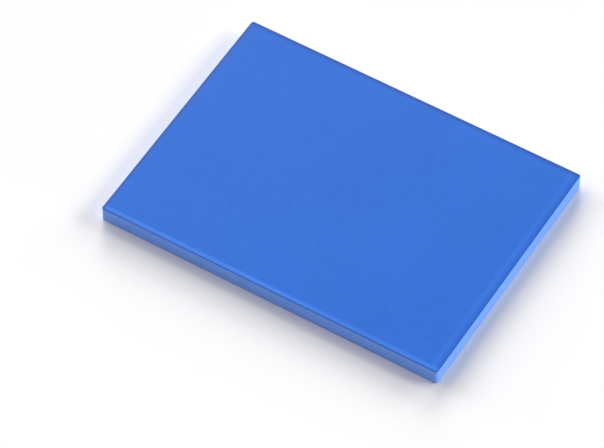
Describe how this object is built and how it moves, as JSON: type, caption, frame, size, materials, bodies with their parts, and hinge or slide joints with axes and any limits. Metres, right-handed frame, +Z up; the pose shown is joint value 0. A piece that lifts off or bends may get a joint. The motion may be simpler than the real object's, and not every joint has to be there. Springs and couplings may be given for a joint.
{
  "type": "thermal pad sheet",
  "caption": "Flat rectangular slab of soft blue ceramic-filled silicone that fills the gap between a hot component and its heatsink.",
  "frame": {"origin": "centre of the underside", "axes": "+X along the sheet's length, +Y across its width, +Z up through its thickness, out of the upper face"},
  "size_m": [0.105, 0.0776, 0.005],
  "materials": {
    "blue_silicone": "matte to satin, smooth moulded faces and knife-cut sides"
  },
  "bodies": {
    "root": {"pad_sheet": "blue_silicone"}
  },
  "joints": []
}
